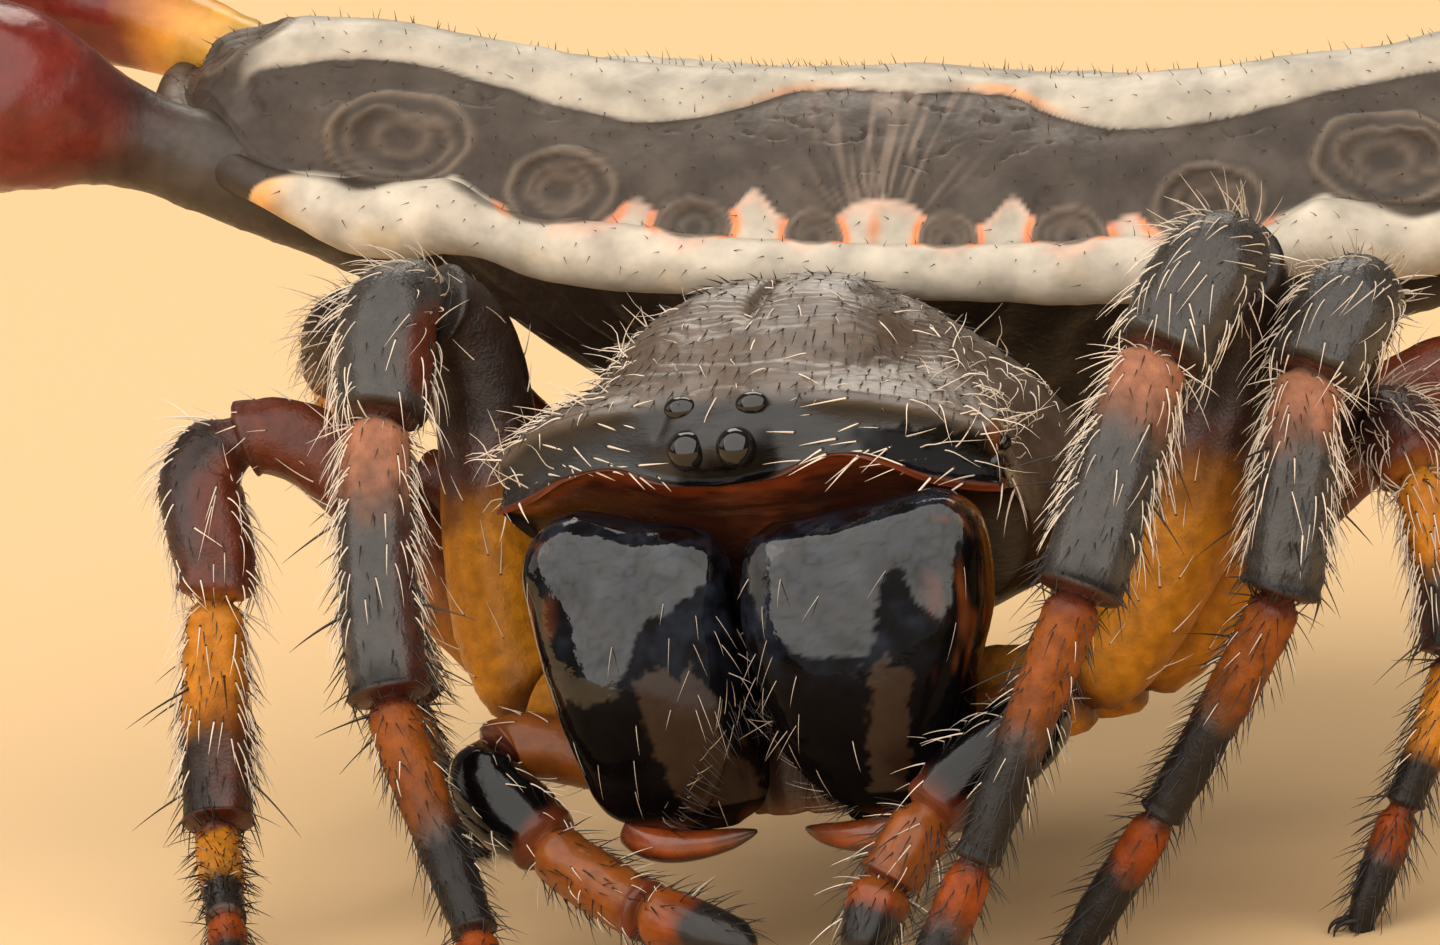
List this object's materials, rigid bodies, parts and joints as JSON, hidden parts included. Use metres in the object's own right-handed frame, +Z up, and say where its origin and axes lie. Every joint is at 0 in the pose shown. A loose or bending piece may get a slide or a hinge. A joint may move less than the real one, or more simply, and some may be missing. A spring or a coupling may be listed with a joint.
{
  "type": "spiny orb weaver",
  "caption": "Life-size still model of a spiny orb weaver spider with a wide banded shield, red spines and banded legs, standing on the floor.",
  "frame": {"origin": "on the floor, under the middle of the animal's box", "axes": "+Z up, the head faces -Y, and the spider's own left side is +X, along its span across the spines"},
  "size_m": [0.017, 0.0114, 0.007],
  "materials": {
    "carapace_shell": "satin black shell with fine grain",
    "chelicera_shell": "mirror-glossy black shell",
    "eye": "clear glossy black lens",
    "fang": "glossy amber brown",
    "palp_skin": "orange and black bands, bristly",
    "leg_skin": "amber, orange and black bands, bristly",
    "dark_underside": "satin dark brown",
    "shield": "cream and black bands, with deep red spines",
    "belly_skin": "wrinkled black skin with pale spots"
  },
  "bodies": {
    "root": {"carapace": "carapace_shell", "sternum": "dark_underside", "mouthparts": "dark_underside", "pedicel": "dark_underside", "abdomen": "shield", "belly": "belly_skin", "spinnerets": "dark_underside", "eye_front_median_left": "eye", "eye_front_median_right": "eye", "eye_rear_median_left": "eye", "eye_rear_median_right": "eye", "eye_front_lateral_left": "eye", "eye_front_lateral_right": "eye", "eye_rear_lateral_left": "eye", "eye_rear_lateral_right": "eye", "chelicera_left": "chelicera_shell", "chelicera_right": "chelicera_shell", "fang_left": "fang", "fang_right": "fang", "palp_left_femur": "palp_skin", "palp_left_tip": "palp_skin", "palp_right_femur": "palp_skin", "palp_right_tip": "palp_skin", "leg_1_left_femur": "leg_skin", "leg_1_left_patella": "leg_skin", "leg_1_left_tibia": "leg_skin", "leg_1_left_foot": "leg_skin", "leg_1_right_femur": "leg_skin", "leg_1_right_patella": "leg_skin", "leg_1_right_tibia": "leg_skin", "leg_1_right_foot": "leg_skin", "leg_2_left_femur": "leg_skin", "leg_2_left_patella": "leg_skin", "leg_2_left_tibia": "leg_skin", "leg_2_left_foot": "leg_skin", "leg_2_right_femur": "leg_skin", "leg_2_right_patella": "leg_skin", "leg_2_right_tibia": "leg_skin", "leg_2_right_foot": "leg_skin", "leg_3_left_femur": "leg_skin", "leg_3_left_patella": "leg_skin", "leg_3_left_tibia": "leg_skin", "leg_3_left_foot": "leg_skin", "leg_3_right_femur": "leg_skin", "leg_3_right_patella": "leg_skin", "leg_3_right_tibia": "leg_skin", "leg_3_right_foot": "leg_skin", "leg_4_left_femur": "leg_skin", "leg_4_left_patella": "leg_skin", "leg_4_left_tibia": "leg_skin", "leg_4_left_foot": "leg_skin", "leg_4_right_femur": "leg_skin", "leg_4_right_patella": "leg_skin", "leg_4_right_tibia": "leg_skin", "leg_4_right_foot": "leg_skin"}
  },
  "joints": []
}
